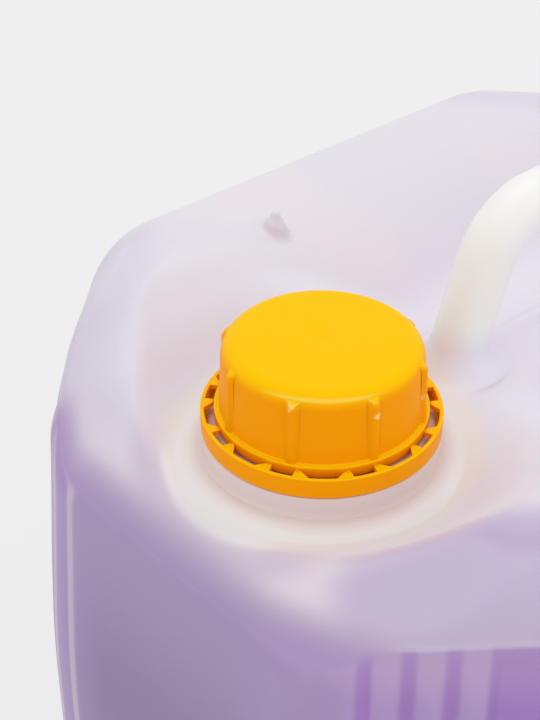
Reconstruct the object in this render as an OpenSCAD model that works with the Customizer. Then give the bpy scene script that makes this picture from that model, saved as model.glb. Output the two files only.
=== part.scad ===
// Fabric softener jug: a blow-moulded stacking jug with a built-in handle,
// a ribbed screw cap and a tamper band. All sizes are in millimetres.
// X runs from the neck end to the far end and Z is up.
// The origin is the middle of the footprint, on the surface that it stands on.

/* [Body] */
// Length of the jug at its shoulders, neck end to far end
body_l = 244; // [240:1:262]
// Width of the jug at its shoulders
body_w = 202; // [196:1:216]
// Height of the walls, where the shoulders begin
wall_h = 217; // [150:1:280]
// How far the walls swell out below the shoulders
swell_out = 4.5; // [2:0.5:6]
// Height over which the walls swell out
swell_h = 60; // [40:5:80]
// Cut taken off each corner at the neck end, along either side
near_cut = 53; // [50:1:56]
// Cut taken off each corner at the far end, along either side
far_cut = 45; // [40:1:52]
// Radius that rounds the upright edges
edge_r = 28; // [26:1:32]
// Wall of the moulding
wall_t = 1.8; // [1.2:0.1:2.4]
// Radius of the edge round the base
base_r = 9; // [6:0.5:12]
// Height of the hollow under the base
base_hollow = 3; // [1:0.5:5]

/* [Top] */
// Height of the shoulder tops over the upright walls
shoulder_h = 30.5; // [26:0.5:34]
// Width of the rounded shoulders
shoulder_w = 25; // [18:0.5:26]
// Depth of the handle valley below the shoulder tops
valley_d = 18; // [14:0.5:20]
// Depth of the bowl round the neck below the shoulder tops
bowl_d = 22; // [18:0.5:25]
// Radius of the bowl's rim
bowl_r = 60; // [58:0.5:62]
// Slope of the apron in front of the neck, in degrees
apron_angle = 41; // [36:1:46]
// Height of the groove at the front of the neck over the upright walls
groove_h = 3.5; // [2:0.5:6]
// Depth of the neck's dome below the valley floor
dome_drop = 2; // [0:0.5:4]

/* [Neck] */
// From the neck's axis to the neck end of the jug
neck_inset = 47; // [45:0.5:50]
// Bore of the neck
neck_bore = 38; // [34:0.5:38]
// Diameter over the neck's threads
neck_d = 43.2; // [42:0.2:43.8]
// Height of the neck over its dome
neck_h = 25.6; // [25:0.2:27]
// Diameter of the collar below the band
collar_d = 56.6; // [55:0.2:58]
// Height of the collar over the dome
collar_h = 5.3; // [4.5:0.1:5.6]
// Diameter across the flat top of the dome
dome_d = 69; // [66:0.5:71]
// Diameter of the dome at its foot
dome_foot_d = 80; // [78:0.5:82]
// Diameter of the bead that holds the tamper band
bead_d = 53.2; // [52:0.2:53.6]

/* [Handle] */
// Diameter of the handle
handle_d = 14.4; // [12:0.2:16]
// Wall of the handle's hollow
handle_t = 2.2; // [1.6:0.1:3]
// From the neck's axis to the middle of the front foot
handle_inset = 45.5; // [44:0.5:50]
// Distance between the middles of the two feet
handle_l = 116; // [100:1:124]
// Height of the handle's middle over the valley floor
handle_h = 37; // [32:0.5:44]
// Lean of the legs, in degrees from upright
handle_lean = 20; // [12:1:26]
// Radius of the bends, to the middle of the handle
handle_bend_r = 18; // [16:0.5:22]
// Radius that flares the feet into the deck
foot_flare_r = 7; // [4:0.5:8]

/* [Ribs and nub] */
// Number of upright ribs on each corner face at the neck end
rib_count = 6; // [4:1:6]
// Distance between ribs
rib_pitch = 9; // [8:0.5:10]
// Width of a rib
rib_w = 6.8; // [5:0.2:7.4]
// How far a rib stands out
rib_out = 1.2; // [0.8:0.1:1.5]
// Height of the ribs' tops over the walls
rib_rise = 11; // [6:1:13]
// From the neck's axis back to the blowing nub
nub_back = 39; // [30:1:50]
// Diameter of the blowing nub at its foot
nub_d = 5.6; // [4:0.2:7]
// Height of the blowing nub
nub_h = 6.4; // [4:0.2:8]
// Width of the parting ridge under the handle
ridge_w = 4; // [3:0.2:6]
// Height of the parting ridge over the valley floor
ridge_h = 2.4; // [1:0.2:3]

/* [Cap] */
// Diameter of the cap's skirt
cap_d = 48; // [47.4:0.2:50]
// Height of the cap
cap_h = 20.6; // [20:0.2:21]
// Thickness of the cap's top
cap_top_t = 2; // [1.4:0.1:2.2]
// Radius of the rounded edge of the top
cap_edge_r = 4.4; // [3.6:0.1:4.8]
// Draft of the skirt, in degrees
cap_draft = 1.6; // [0:0.1:2]
// Diameter of the flange at the foot of the skirt
flange_d = 50.4; // [50:0.1:51]
// Height of the flange
flange_h = 2.8; // [2:0.1:3.4]
// Number of grip ribs
grip_count = 8; // [4:1:16]
// Width of a grip rib
grip_w = 2; // [1.4:0.1:2.6]
// How far a grip rib stands out
grip_out = 0.9; // [0.5:0.1:1.1]
// Turn of the first grip rib from the far end of the jug, in degrees
grip_turn = 30.5; // [0:0.5:44]
// Thickness of the sealing disc
liner_t = 1.5; // [1:0.1:1.7]

/* [Tamper band] */
// Outer diameter of the band
band_d = 56.8; // [56:0.2:58]
// Height of the band
band_h = 5; // [4.4:0.1:5.4]
// Wall of the band
band_wall = 1; // [0.8:0.1:1.2]
// Number of pairs of teeth inside the band's top edge
tooth_pairs = 9; // [4:1:10]
// Turn of the first pair of teeth from the far end of the jug, in degrees
tooth_turn = 47.5; // [0:0.5:89.5]
// Thickness of a tooth
tooth_t = 1.2; // [0.8:0.1:1.6]
// Half angle of the narrow window in each pair
tooth_window = 6.2; // [5:0.1:8]
// Angle that a tooth spans at the band
tooth_root = 7.8; // [4:0.1:8]
// Angle that a tooth spans at its tip
tooth_tip = 3; // [1.5:0.1:3.5]

/* [Softener] */
// Height of the softener's surface over the upright walls
fill_h = 7; // [-60:0.5:7]

/* [Clearances] */
// Gap between the cap and the pieces inside and round it
cap_gap = 0.3; // [0.2:0.05:0.4]
// Gap between the sealing disc and what it lies on
liner_gap = 0.1; // [0.05:0.05:0.2]
// Gap between the softener and the walls
fill_gap = 0.3; // [0.2:0.05:0.5]

/* [Hidden] */
milk = [0.90, 0.87, 0.92];
lilac = [0.62, 0.50, 0.70];
amber = [1.00, 0.72, 0.02];
foam = [0.96, 0.96, 0.94];

neck_x = neck_inset - body_l / 2;
plateau_z = wall_h + shoulder_h;
valley_z = plateau_z - valley_d;
dome_z = valley_z - dome_drop;
bowl_z = plateau_z - bowl_d;
groove_z = wall_h + groove_h;
dome_r = dome_d / 2;
foot_r = dome_foot_d / 2;
neck_top_z = dome_z + neck_h;
collar_z = dome_z + collar_h;
collar_r = collar_d / 2;
cap_top_z = neck_top_z + liner_t + 2 * liner_gap + cap_top_t;
cap_foot_z = cap_top_z - cap_h;

// The dome falls a little from the collar to its edge, and steeply at its side
dome_fall = 1.2;
dome_edge = 1.5;
dome_side_h = 24;
// The bowl's side rises this much for each millimetre outwards
bowl_slope = 1.05;
// The valley has a flat middle, and sides that rise to the plateau
valley_flat = 12;
valley_side = 68;
// Behind the neck's axis the bowl changes into the valley over this length
change_start = 2;
change_l = 42;
// Bands over which neighbouring parts of the deck are blended
bowl_blend = 7;
rim_blend = 5;
apron_blend = 6;
foot_blend = 2.5;
shoulder_blend = 4;
// Where the deck is low, its edge starts lower down the wall and is blended more
edge_drop = 7.5;
edge_blend = 12;
edge_range = 25;
// The inside of the deck lies lower by this many walls, for its slopes
deck_drop = 1.2;

// Softened smaller and larger of two heights, blended over a band k
function soft_min(a, b, k) =
    let (h = max(k - abs(a - b), 0) / k) min(a, b) - h * h * k / 4;
function soft_max(a, b, k) = -soft_min(-a, -b, k);
function ease(t) = let (c = min(1, max(0, t))) c * c * (3 - 2 * c);
function mix(a, b, t) = a + (b - a) * t;

// The plan: an octagon with cut corners, as corner arcs joined by straight runs.
// Each corner is [x, y] of its sharp point, and the angle where its arc begins.
far_x = body_l / 2;
side_y = body_w / 2;
corners = [
    [far_x, side_y - far_cut, 0],
    [far_x - far_cut, side_y, 45],
    [-far_x + near_cut, side_y, 90],
    [-far_x, side_y - near_cut, 135],
    [-far_x, -side_y + near_cut, 180],
    [-far_x + near_cut, -side_y, 225],
    [far_x - far_cut, -side_y, 270],
    [far_x, -side_y + far_cut, 315]
];
arc_steps = 4;
run_steps = [3, 8, 4, 6, 4, 8, 3, 6];

// Centre of a corner's arc: in from the sharp point along the bisector
turn = 45;
function arc_centre(c) =
    let (a = c[2] + turn / 2, reach = edge_r / cos(turn / 2))
    [c[0] - reach * cos(a), c[1] - reach * sin(a)];
function arc_point(c, i, inset) =
    let (a = c[2] + i * turn / arc_steps) arc_centre(c) + (edge_r - inset) * [cos(a), sin(a)];
// The whole outline, moved in by inset
function outline(inset) = [
    for (k = [0 : 7])
        let (c = corners[k], d = corners[(k + 1) % 8], last = arc_point(c, arc_steps, inset),
             next = arc_point(d, 0, inset))
        each [
            for (i = [0 : arc_steps]) arc_point(c, i, inset),
            for (i = [1 : run_steps[k] - 1]) mix(last, next, i / run_steps[k])
        ]
];

// Height of the deck at a point of the plan, without the shoulders' rounding
function dome_height(r) =
    dome_z - dome_fall * ease((r - collar_r) / (dome_r - collar_r))
    - dome_side_h * pow(max(0, r - dome_r + dome_edge) / (foot_r - dome_r + dome_edge), 2);
function bowl_height(r) =
    soft_max(bowl_z, plateau_z + (r - bowl_r) * bowl_slope, bowl_blend);
function valley_height(y) =
    valley_z + valley_d * ease((abs(y) - valley_flat) / valley_side);
function apron_height(x) =
    groove_z + (x - neck_x + foot_r) * tan(apron_angle);
function deck_height(p) =
    let (r = norm([p[0] - neck_x, p[1]]),
         behind = ease((p[0] - neck_x - change_start) / change_l),
         dish = mix(bowl_height(r), valley_height(p[1]), behind),
         rim = soft_min(plateau_z, dish, rim_blend),
         cut = soft_min(rim, apron_height(p[0]), apron_blend))
    soft_max(cut, dome_height(r), foot_blend);

// Rings of the skin, from the base up the walls and in over the deck.
// inset moves the walls in, lift raises the base and drop lowers the deck.
// A set of rings gives the shoulders' angles, shares of the way in from them to the
// bowl's rim, shares of the way out from the dome's foot to that rim, and shares of the
// way out from the dome's flat top to its foot.
outside_rings = [
    [0, 10, 24, 40, 56, 70, 82, 90], [0.25, 0.5, 0.75], [1, 0.75, 0.5, 0.25, 0.1], [1, 0.7, 0.4, -0.2]
];
inside_rings = [[0, 15, 35, 60, 90], [0.33, 0.67], [1, 0.7, 0.33, 0.1], [0.6, -0.2]];
rim_out = 4;
bowl_rim = bowl_r + rim_out;
last_ring = 2;
function neck_radii(levels) = concat(
    [for (t = levels[2]) mix(foot_r, bowl_rim, t)],
    [for (t = levels[3]) mix(dome_r, foot_r, t)],
    [collar_r + last_ring]
);

// How much room a ray from the neck has outside the dome, at one outline point
function room(p) = norm([p[0] - neck_x, p[1]]) - foot_r;
function squeeze(p, share, full) = min(1, share * room(p) / full);
shoulder_share = 0.5;
bowl_share = 0.45;
function shoulder_ring(angle, inset) =
    let (walls = outline(inset), full = outline(shoulder_w),
         slide = 1 - cos(angle))
    [for (j = [0 : len(walls) - 1])
        mix(walls[j], full[j], slide * squeeze(walls[j], shoulder_share, shoulder_w))];
function on_circle(p, r) =
    let (v = [p[0] - neck_x, p[1]]) [neck_x, 0] + v * r / norm(v);
function dome_ring(r, inset) =
    let (walls = outline(inset), full = shoulder_ring(90, inset))
    [for (j = [0 : len(walls) - 1])
        let (fit = squeeze(walls[j], bowl_share, bowl_rim - foot_r))
        on_circle(full[j], r > foot_r ? foot_r + (r - foot_r) * fit : r)];

function at_height(ring, z) = [for (p = ring) [p[0], p[1], z]];
function on_deck(ring, drop) = [for (p = ring) [p[0], p[1], deck_height(p) - drop]];
function lowness(p) = 1 - ease((deck_height(p) - groove_z) / edge_range);
function shoulder_points(angle, inset, drop) =
    let (ring = shoulder_ring(angle, inset), full = shoulder_ring(90, inset))
    [for (j = [0 : len(ring) - 1])
        let (p = ring[j], low = lowness(full[j]), start = wall_h - edge_drop * low,
             z = mix(start, plateau_z - drop, sin(angle)))
        [p[0], p[1], soft_min(deck_height(p) - drop, z, shoulder_blend + edge_blend * low)]];
function base_points(angle, inset, lift) =
    at_height(outline(inset - swell_out + base_r * (1 - sin(angle))), lift + base_r * (1 - cos(angle)));

// The jug stands on a flat ring, and the base slopes up from it into the hollow
stand_w = 3;
hollow_run = 4;
swell_z = wall_h - swell_h;
function skin_rings(inset, lift, drop, levels) =
    let (outer = shoulder_ring(90, inset), inner = dome_ring(bowl_rim, inset),
         stand = inset - swell_out + base_r + stand_w)
    concat(
        [at_height(outline(stand + hollow_run), lift + base_hollow),
         at_height(outline(stand), lift)],
        [for (a = [0, 30, 60, 90]) base_points(a, inset, lift)],
        [at_height(outline(inset - swell_out), swell_z)],
        [for (a = levels[0]) shoulder_points(a, inset, drop)],
        [for (t = levels[1])
            on_deck([for (j = [0 : len(outer) - 1]) mix(outer[j], inner[j], t)], drop)],
        [for (r = neck_radii(levels)) on_deck(dome_ring(r, inset), drop)]
    );

// One closed solid from the rings, with a fan over each end
module body_skin(inset, levels) {
    drop = inset * deck_drop;
    rings = skin_rings(inset, inset, drop, levels);
    n = len(rings[0]);
    m = len(rings);
    points = concat([for (ring = rings) each ring],
        [[0, 0, inset + base_hollow], [neck_x, 0, dome_z - drop]]);
    walls = [for (k = [0 : m - 2]) for (j = [0 : n - 1])
        let (a = k * n + j, b = k * n + (j + 1) % n) each [[a, a + n, b], [b, a + n, b + n]]];
    base = [for (j = [0 : n - 1]) [m * n, j, (j + 1) % n]];
    top = [for (j = [0 : n - 1])
        [m * n + 1, (m - 1) * n + (j + 1) % n, (m - 1) * n + j]];
    polyhedron(points, concat(walls, base, top), convexity = 8);
}

// A closed solid through sections that have the same number of points each
module swept(sections) {
    n = len(sections[0]);
    m = len(sections);
    walls = [for (k = [0 : m - 2]) for (j = [0 : n - 1])
        let (a = k * n + j, b = k * n + (j + 1) % n) each [[a, a + n, b], [b, a + n, b + n]]];
    foot = [for (j = [0 : n - 1]) j];
    end = [for (j = [n - 1 : -1 : 0]) (m - 1) * n + j];
    polyhedron([for (s = sections) each s], concat(walls, [foot, end]), convexity = 6);
}

// Ribs on the four corner faces, fewer on the narrower far ones. Each is swept up the
// wall, with its back let into it. A stop is [outward, height, share of its standing out].
rib_fewer = 2;
rib_lift = 20;
rib_fade = 8;
rib_back = 3;
rib_sink = 0.3;
rib_end = 0.1;
rib_foot = base_r + rib_lift;
rib_top = wall_h + rib_rise;
rib_bend = wall_h + rib_rise / 2;
function shoulder_in(z) = shoulder_w * (1 - sqrt(1 - pow((z - wall_h) / shoulder_h, 2)));
rib_stops = [
    [swell_out - rib_sink, rib_foot, rib_end],
    [swell_out, rib_foot + rib_fade, 1],
    [swell_out, swell_z, 1],
    [0, wall_h, 1],
    [-shoulder_in(rib_bend), rib_bend, 1],
    [-shoulder_in(rib_top) - rib_sink, rib_top, rib_end]
];
// Places across a rib, in half widths: the outer two lie below the wall's face
rib_across = [-1.15, -0.6, 0, 0.6, 1.15];
function rib_section(s) = concat(
    [for (t = rib_across) [s[0] + rib_out * s[2] * (1 - t * t), t * rib_w / 2, s[1]]],
    [for (t = [1, -1]) [s[0] - rib_back, t * rib_w / 2, s[1]]]
);
faces = [
    [far_x - far_cut / 2, side_y - far_cut / 2, 45, rib_count - rib_fewer],
    [-far_x + near_cut / 2, side_y - near_cut / 2, 135, rib_count],
    [-far_x + near_cut / 2, -side_y + near_cut / 2, 225, rib_count],
    [far_x - far_cut / 2, -side_y + far_cut / 2, 315, rib_count - rib_fewer]
];
module corner_ribs() {
    for (f = faces, i = [0 : f[3] - 1])
        translate([f[0], f[1], 0])
            rotate(f[2])
                translate([0, (i - (f[3] - 1) / 2) * rib_pitch, 0])
                    swept([for (s = rib_stops) rib_section(s)]);
}

// The handle: two leaning legs, two bends and a bar, swept as one round tube.
// A stop on its way is [x, z, lean of the tube from upright, extra radius].
bar_z = valley_z + handle_h;
leg_rise = handle_h - handle_bend_r * (1 - sin(handle_lean));
front_foot_x = neck_x + handle_inset;
rear_foot_x = front_foot_x + handle_l;
bend_x = front_foot_x + leg_rise * tan(handle_lean) + handle_bend_r * cos(handle_lean);
leg_root = 10;
bend_steps = 8;
outer_sides = 20;
inner_sides = 14;
function flare(h) =
    let (c = min(1, max(0, 1 - h / foot_flare_r))) foot_flare_r * (1 - sqrt(1 - c * c));
// The flare starts so low that the high side of its edge meets the valley floor
flare_sink = 0.8;
flare_start = -flare_sink * (handle_d / 2 + foot_flare_r) * tan(handle_lean);
flare_heights = [0, 0.6, 1.6, 3.2, foot_flare_r];
function leg_stop(h, swell) =
    [front_foot_x + h * tan(handle_lean), valley_z + h, handle_lean, swell * flare(h - flare_start)];
function bend_stop(i) =
    let (a = handle_lean + (90 - handle_lean) * i / bend_steps)
    [bend_x - handle_bend_r * cos(a), bar_z - handle_bend_r * (1 - sin(a)), a, 0];
function front_stops(swell) = concat(
    [leg_stop(-leg_root, swell)],
    [for (h = flare_heights) leg_stop(flare_start + h, swell)],
    [for (i = [0 : bend_steps]) bend_stop(i)]
);
function mirrored(stops) = [for (i = [len(stops) - 1 : -1 : 0])
    [front_foot_x + rear_foot_x - stops[i][0], stops[i][1], 180 - stops[i][2], stops[i][3]]];
module handle_tube(r, sides, swell) {
    half = front_stops(swell);
    swept([for (p = concat(half, mirrored(half)))
        [for (j = [0 : sides - 1])
            let (a = j * 360 / sides, q = r + p[3])
            [p[0] + q * cos(a) * cos(p[2]), q * sin(a), p[1] - q * cos(a) * sin(p[2])]]]);
}
module parting_ridge() {
    translate([front_foot_x, 0, valley_z + ridge_h - ridge_w / 2])
        rotate([0, 90, 0])
            cylinder(d = ridge_w, h = handle_l, $fn = 32);
}
// The nub stands on the deck, let in by its root
nub_at = [neck_x + nub_back, bowl_r];
nub_root = 1;
nub_taper = 0.23;
module blowing_nub() {
    tip_r = nub_d * nub_taper;
    cone_h = nub_h + nub_root - tip_r;
    translate([nub_at[0], nub_at[1], deck_height(nub_at) - nub_root]) {
        cylinder(r1 = nub_d / 2, r2 = tip_r, h = cone_h, $fn = 32);
        translate([0, 0, cone_h])
            sphere(r = tip_r, $fn = 32);
    }
}

// The neck, turned about its own axis: collar, shank, bead and threaded part
neck_r = neck_d / 2;
bead_r = bead_d / 2;
shank_out = 2;
shank_r = neck_r + shank_out;
bead_top_z = cap_foot_z - 2 * cap_gap;
bead_h = 1.4;
bead_slope = 1.4;
bevel = 0.3;
neck_fillet = 3;
fillet_foot_z = dome_z - 1.1;
neck_root_z = dome_z - wall_t - 1;
module neck_solid() {
    lip = 1;
    fillet_x = collar_r + neck_fillet;
    translate([neck_x, 0, 0])
        rotate_extrude($fn = 96)
            difference() {
                polygon([
                    [0, neck_root_z], [fillet_x, neck_root_z], [fillet_x, fillet_foot_z],
                    [collar_r, fillet_foot_z + neck_fillet], [collar_r, collar_z - 2 * bevel],
                    [collar_r - 2 * bevel, collar_z], [shank_r, collar_z],
                    [shank_r, bead_top_z - bead_h], [bead_r, bead_top_z - bead_h + bevel],
                    [bead_r, bead_top_z - 3 * bevel], [bead_r - bead_slope, bead_top_z],
                    [neck_r, bead_top_z], [neck_r, neck_top_z - lip],
                    [neck_r - lip, neck_top_z], [0, neck_top_z]
                ]);
                translate([fillet_x, fillet_foot_z + neck_fillet])
                    circle(r = neck_fillet, $fn = 48);
            }
}
hole_root = 12;
module neck_hole() {
    translate([neck_x, 0, dome_z - hole_root])
        cylinder(d = neck_bore, h = neck_h + hole_root + 1, $fn = 96);
}

module jug_body() {
    color(milk)
        difference() {
            union() {
                body_skin(0, outside_rings);
                corner_ribs();
                handle_tube(handle_d / 2, outer_sides, 1);
                parting_ridge();
                blowing_nub();
                neck_solid();
            }
            body_skin(wall_t, inside_rings);
            handle_tube(handle_d / 2 - handle_t, inner_sides, 0);
            neck_hole();
        }
}

// The softener fills the jug's inside up to its level
fill_z = wall_h + fill_h;
fill_inset = wall_t + fill_gap;
module softener() {
    color(lilac)
        intersection() {
            body_skin(fill_inset, inside_rings);
            translate([-body_l, -body_w, -1])
                cube([2 * body_l, 2 * body_w, fill_z + 1]);
        }
}

// The cap, from its top down
cap_r = cap_d / 2;
flange_r = flange_d / 2;
cap_inner_r = neck_r + cap_gap;
flange_bevel = 0.6;
top_r = cap_r - cap_h * tan(cap_draft);
module cap_profile() {
    polygon([
        [0, cap_foot_z], [flange_r, cap_foot_z],
        [flange_r, cap_foot_z + flange_h - flange_bevel],
        [flange_r - flange_bevel, cap_foot_z + flange_h], [cap_r, cap_foot_z + flange_h],
        [top_r, cap_top_z - cap_edge_r], [top_r - cap_edge_r, cap_top_z - cap_edge_r],
        [top_r - cap_edge_r, cap_top_z], [0, cap_top_z]
    ]);
    intersection() {
        translate([top_r - cap_edge_r, cap_top_z - cap_edge_r])
            circle(r = cap_edge_r, $fn = 64);
        square([cap_r, cap_top_z]);
    }
}
// A grip rib stands on the flange and ends in a round at the cap's rounded edge
rib_root = 0.5;
module grip_rib() {
    rib_h = cap_h - flange_h - cap_edge_r + rib_root;
    translate([cap_r + grip_out - grip_w / 2, 0, cap_foot_z + flange_h - rib_root]) {
        cylinder(d = grip_w, h = rib_h, $fn = 32);
        translate([0, 0, rib_h])
            sphere(d = grip_w, $fn = 32);
    }
}
module screw_cap() {
    color(amber)
        translate([neck_x, 0, 0])
            difference() {
                union() {
                    rotate_extrude($fn = 96)
                        cap_profile();
                    for (i = [0 : grip_count - 1])
                        rotate(grip_turn + i * 360 / grip_count)
                            grip_rib();
                }
                translate([0, 0, cap_foot_z - 1])
                    cylinder(r = cap_inner_r, h = cap_h - cap_top_t + 1, $fn = 96);
                gate_dimple();
            }
}
// The shallow round dimple of the moulding gate
module gate_dimple() {
    dimple_r = 3;
    dimple_depth = 0.25;
    ball_r = (dimple_r * dimple_r + dimple_depth * dimple_depth) / (2 * dimple_depth);
    translate([0, 0, cap_top_z + ball_r - dimple_depth])
        sphere(r = ball_r, $fn = 96);
}
module cap_liner() {
    color(foam)
        translate([neck_x, 0, neck_top_z + liner_gap])
            cylinder(r = cap_inner_r - cap_gap, h = liner_t, $fn = 96);
}

// The tamper band, with a lip that hooks under the neck's bead
band_r = band_d / 2;
band_foot_z = collar_z + cap_gap;
band_inner_r = band_r - band_wall;
hook_r = shank_r + cap_gap;
hook_h = 1;
band_top_z = band_foot_z + band_h;
module tamper_band() {
    color(amber)
        translate([neck_x, 0, 0]) {
            rotate_extrude($fn = 96)
                polygon([
                    [hook_r, band_foot_z], [band_r - bevel, band_foot_z],
                    [band_r, band_foot_z + bevel], [band_r, band_top_z - bevel],
                    [band_r - bevel, band_top_z], [band_inner_r, band_top_z],
                    [band_inner_r, band_foot_z + hook_h], [hook_r, band_foot_z + hook_h / 2]
                ]);
            for (i = [0 : tooth_pairs - 1], side = [0, 1])
                rotate(tooth_turn + i * 360 / tooth_pairs)
                    mirror([0, side, 0])
                        band_tooth();
        }
}
module band_tooth() {
    tip_r = flange_r + cap_gap;
    root_r = band_inner_r + band_wall / 2;
    translate([0, 0, band_top_z - tooth_t])
        linear_extrude(tooth_t)
            polygon([
                tip_r * [cos(tooth_window), sin(tooth_window)],
                root_r * [cos(tooth_window), sin(tooth_window)],
                root_r * [cos(tooth_window + tooth_root), sin(tooth_window + tooth_root)],
                tip_r * [cos(tooth_window + tooth_tip), sin(tooth_window + tooth_tip)]
            ]);
}

jug_body();
softener();
screw_cap();
cap_liner();
tamper_band();
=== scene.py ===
import math

import bpy
import numpy as np
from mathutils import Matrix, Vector


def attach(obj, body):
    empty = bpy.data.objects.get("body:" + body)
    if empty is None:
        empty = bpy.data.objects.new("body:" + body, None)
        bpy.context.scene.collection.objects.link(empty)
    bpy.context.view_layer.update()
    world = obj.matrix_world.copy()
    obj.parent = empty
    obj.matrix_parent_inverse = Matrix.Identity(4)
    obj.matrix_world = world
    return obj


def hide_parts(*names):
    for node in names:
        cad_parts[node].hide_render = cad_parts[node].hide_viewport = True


bl_info = {
    "name": "Fabric softener jug",
    "version": (1, 0, 0),
    "blender": (4, 5, 0),
    "location": "View3D > Sidebar > Jug",
    "description": "A milky blow-moulded jug with a tube handle, a screw cap and a tamper band",
    "category": "Object",
}

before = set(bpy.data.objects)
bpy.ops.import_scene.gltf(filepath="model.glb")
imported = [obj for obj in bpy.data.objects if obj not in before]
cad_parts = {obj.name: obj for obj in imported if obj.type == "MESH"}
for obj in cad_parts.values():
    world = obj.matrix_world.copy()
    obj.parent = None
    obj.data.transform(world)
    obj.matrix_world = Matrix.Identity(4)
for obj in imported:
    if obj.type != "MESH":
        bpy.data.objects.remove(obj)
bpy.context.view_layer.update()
MM = 0.001


def linear(hexcode):
    """Linear RGBA of an sRGB hex colour."""
    parts = [int(hexcode[i : i + 2], 16) / 255 for i in (1, 3, 5)]
    return tuple(c / 12.92 if c < 0.04045 else ((c + 0.055) / 1.055) ** 2.4 for c in parts) + (1.0,)


def length(name, mm, description=""):
    return bpy.props.FloatProperty(
        name=name, description=description, default=mm * MM, min=0.0, unit="LENGTH"
    )


def angle(name, degrees, description):
    return bpy.props.FloatProperty(
        name=name, description=description, default=math.radians(degrees), subtype="ANGLE"
    )


def number(name, default, description):
    return bpy.props.IntProperty(name=name, description=description, default=default, min=1)


def colour(name, hexcode, description):
    return bpy.props.FloatVectorProperty(
        name=name, description=description, default=linear(hexcode), size=4,
        min=0.0, max=1.0, subtype="COLOR",
    )


class JugSizes(bpy.types.PropertyGroup):
    """Sizes of the blow-moulded jug."""

    body_l: length("Length", 244, "Length at the shoulders, neck end to far end")
    body_w: length("Width", 202, "Width at the shoulders")
    wall_h: length("Wall height", 217, "Height where the shoulders begin")
    swell_out: length("Swell", 4.5, "How far the walls swell out below the shoulders")
    swell_h: length("Swell height", 60, "Height over which the walls swell out")
    near_cut: length("Near cut", 53, "Cut off each corner at the neck end")
    far_cut: length("Far cut", 45, "Cut off each corner at the far end")
    edge_r: length("Edge radius", 28, "Radius of the upright edges")
    base_r: length("Base radius", 9, "Radius of the edge round the base")
    base_hollow: length("Base hollow", 3, "Height of the hollow under the base")
    stand_w: length("Standing ring", 3, "Width of the flat ring that the jug stands on")
    hollow_run: length("Hollow run", 4, "Width of the slope up into the hollow")
    shoulder_h: length("Shoulder height", 30.5, "Height of the shoulder tops over the walls")
    shoulder_w: length("Shoulder width", 25, "Width of the rounded shoulders")
    valley_d: length("Valley depth", 18, "Depth of the handle valley below the shoulder tops")
    bowl_d: length("Bowl depth", 22, "Depth of the bowl round the neck")
    bowl_r: length("Bowl radius", 60, "Radius of the bowl's rim")
    apron_slope: angle("Apron slope", 41, "Slope of the apron in front of the neck")
    groove_h: length("Groove height", 3.5, "Height of the groove in front of the neck")
    dome_drop: length("Dome drop", 2, "Depth of the dome's top below the valley floor")
    neck_inset: length("Neck inset", 47, "From the neck's axis to the neck end")
    neck_bore: length("Neck bore", 38, "Bore of the neck")
    neck_d: length("Thread diameter", 43.2, "Diameter over the neck's threads")
    neck_h: length("Neck height", 25.6, "Height of the neck over its dome")
    collar_d: length("Collar diameter", 56.6, "Diameter of the collar below the band")
    collar_h: length("Collar height", 5.3, "Height of the collar over the dome")
    dome_d: length("Dome diameter", 69, "Diameter across the top of the dome")
    dome_foot_d: length("Dome foot", 80, "Diameter of the dome at its foot")
    bead_d: length("Bead diameter", 53.2, "Diameter of the bead that holds the band")
    handle_d: length("Handle diameter", 14.4)
    handle_inset: length("Handle inset", 45.5, "From the neck's axis to the front foot")
    handle_l: length("Handle length", 116, "Distance between the handle's feet")
    handle_h: length("Handle height", 37, "Height of the handle's middle over the valley")
    handle_lean: angle("Handle lean", 20, "Lean of the handle's legs")
    handle_bend_r: length("Bend radius", 18, "Radius of the handle's bends")
    foot_flare_r: length("Foot flare", 7, "Radius that flares the feet into the deck")
    ridge_w: length("Ridge width", 4, "Width of the parting ridge under the handle")
    ridge_h: length("Ridge height", 2.4, "Height of the parting ridge")
    rib_count: number("Ribs", 6, "Upright ribs on each corner face at the neck end")
    rib_pitch: length("Rib pitch", 9, "Distance between ribs")
    rib_w: length("Rib width", 6.8)
    rib_out: length("Rib height", 1.2, "How far a rib stands out")
    rib_rise: length("Rib rise", 11, "Height of the ribs' tops over the walls")
    rib_lift: length("Rib lift", 29, "Height where the ribs begin")
    nub_d: length("Nub diameter", 5.6, "Diameter of the blowing nub at its foot")
    nub_h: length("Nub height", 6.4, "Height of the blowing nub")
    fill_h: length("Fill height", 7, "Height of the softener's surface over the walls")


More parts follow.
